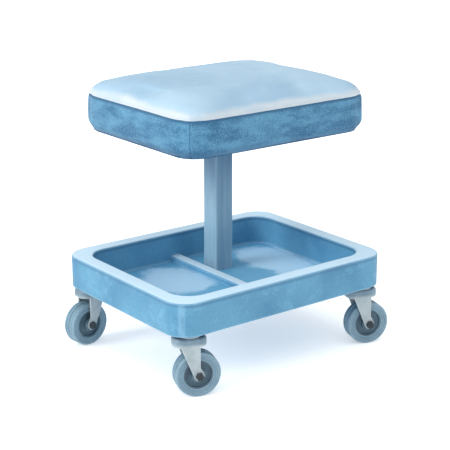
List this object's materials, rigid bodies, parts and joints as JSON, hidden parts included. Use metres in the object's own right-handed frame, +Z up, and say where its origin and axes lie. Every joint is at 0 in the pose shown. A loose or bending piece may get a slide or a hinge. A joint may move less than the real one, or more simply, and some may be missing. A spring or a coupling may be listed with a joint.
{
  "type": "mechanic's creeper seat",
  "caption": "Rolling workshop seat: thick padded rectangular cushion on a square post, standing in a wide-rimmed tool tray with a low cross rib, carried on swivel casters.",
  "frame": {"origin": "on the floor, under the middle of the tray and the seat", "axes": "+X along the tray's long side, +Y along its short side towards the post, +Z up"},
  "size_m": [0.3976, 0.295, 0.4],
  "materials": {
    "seat_vinyl": "pale blue vinyl, fine grain, satin",
    "seat_foam": "open-cell foam",
    "plywood": "raw plywood",
    "plate_paint": "blue paint, satin",
    "post_paint": "grey-blue paint, satin",
    "tray_plastic": "mid-blue moulded polypropylene, matte",
    "sleeve_plastic": "black nylon",
    "zinc_hardware": "zinc plated",
    "fork_zinc": "light grey painted pressed steel",
    "axle_steel": "dark oxide",
    "bearing_steel": "bright steel",
    "hub_plastic": "dark grey moulded plastic",
    "tyre_rubber": "grey non-marking rubber"
  },
  "bodies": {
    "root": {"seat_cover": "seat_vinyl", "seat_foam": "seat_foam", "seat_board": "plywood", "seat_staples": "zinc_hardware", "seat_tee_nuts": "zinc_hardware", "seat_bolts": "zinc_hardware", "seat_washers": "zinc_hardware", "seat_plate": "plate_paint", "post_gussets": "plate_paint", "post": "post_paint", "post_cross_bolt": "zinc_hardware", "post_cross_nut": "zinc_hardware", "tray": "tray_plastic", "stem_sleeve_front_left": "sleeve_plastic", "stem_sleeve_front_right": "sleeve_plastic", "stem_sleeve_back_left": "sleeve_plastic", "stem_sleeve_back_right": "sleeve_plastic", "stem_front_left": "zinc_hardware", "stem_front_right": "zinc_hardware", "stem_back_left": "zinc_hardware", "stem_back_right": "zinc_hardware", "bearing_cup_front_left": "fork_zinc", "bearing_cup_front_right": "fork_zinc", "bearing_cup_back_left": "fork_zinc", "bearing_cup_back_right": "fork_zinc"},
    "caster_front_left": {"bearing_balls_front_left": "bearing_steel", "fork_front_left": "fork_zinc", "axle_bolt_front_left": "axle_steel", "axle_nut_front_left": "axle_steel", "axle_spacer_front_left": "bearing_steel"},
    "wheel_front_left": {"wheel_hub_front_left": "hub_plastic", "tyre_front_left": "tyre_rubber"},
    "caster_front_right": {"bearing_balls_front_right": "bearing_steel", "fork_front_right": "fork_zinc", "axle_bolt_front_right": "axle_steel", "axle_nut_front_right": "axle_steel", "axle_spacer_front_right": "bearing_steel"},
    "wheel_front_right": {"wheel_hub_front_right": "hub_plastic", "tyre_front_right": "tyre_rubber"},
    "caster_back_left": {"bearing_balls_back_left": "bearing_steel", "fork_back_left": "fork_zinc", "axle_bolt_back_left": "axle_steel", "axle_nut_back_left": "axle_steel", "axle_spacer_back_left": "bearing_steel"},
    "wheel_back_left": {"wheel_hub_back_left": "hub_plastic", "tyre_back_left": "tyre_rubber"},
    "caster_back_right": {"bearing_balls_back_right": "bearing_steel", "fork_back_right": "fork_zinc", "axle_bolt_back_right": "axle_steel", "axle_nut_back_right": "axle_steel", "axle_spacer_back_right": "bearing_steel"},
    "wheel_back_right": {"wheel_hub_back_right": "hub_plastic", "tyre_back_right": "tyre_rubber"}
  },
  "joints": [
    {"name": "swivel_front_left", "type": "hinge", "parent": "root", "child": "caster_front_left", "pos_m": [-0.156, -0.123, 0.087], "axis": [0, 0, 1], "continuous": true},
    {"name": "roll_front_left", "type": "hinge", "parent": "caster_front_left", "child": "wheel_front_left", "pos_m": [-0.14618, -0.12673, 0.03175], "axis": [0.3551, 0.9348, 0], "continuous": true},
    {"name": "swivel_front_right", "type": "hinge", "parent": "root", "child": "caster_front_right", "pos_m": [0.156, -0.123, 0.087], "axis": [0, 0, 1], "continuous": true},
    {"name": "roll_front_right", "type": "hinge", "parent": "caster_front_right", "child": "wheel_front_right", "pos_m": [0.16593, -0.12642, 0.03175], "axis": [0.3256, 0.9455, 0], "continuous": true},
    {"name": "swivel_back_left", "type": "hinge", "parent": "root", "child": "caster_back_left", "pos_m": [-0.156, 0.123, 0.087], "axis": [0, 0, 1], "continuous": true},
    {"name": "roll_back_left", "type": "hinge", "parent": "caster_back_left", "child": "wheel_back_left", "pos_m": [-0.16645, 0.12194, 0.03175], "axis": [0.1011, -0.9949, 0], "continuous": true},
    {"name": "swivel_back_right", "type": "hinge", "parent": "root", "child": "caster_back_right", "pos_m": [0.156, 0.123, 0.087], "axis": [0, 0, 1], "continuous": true},
    {"name": "roll_back_right", "type": "hinge", "parent": "caster_back_right", "child": "wheel_back_right", "pos_m": [0.16587, 0.12659, 0.03175], "axis": [-0.342, 0.9397, 0], "continuous": true}
  ]
}
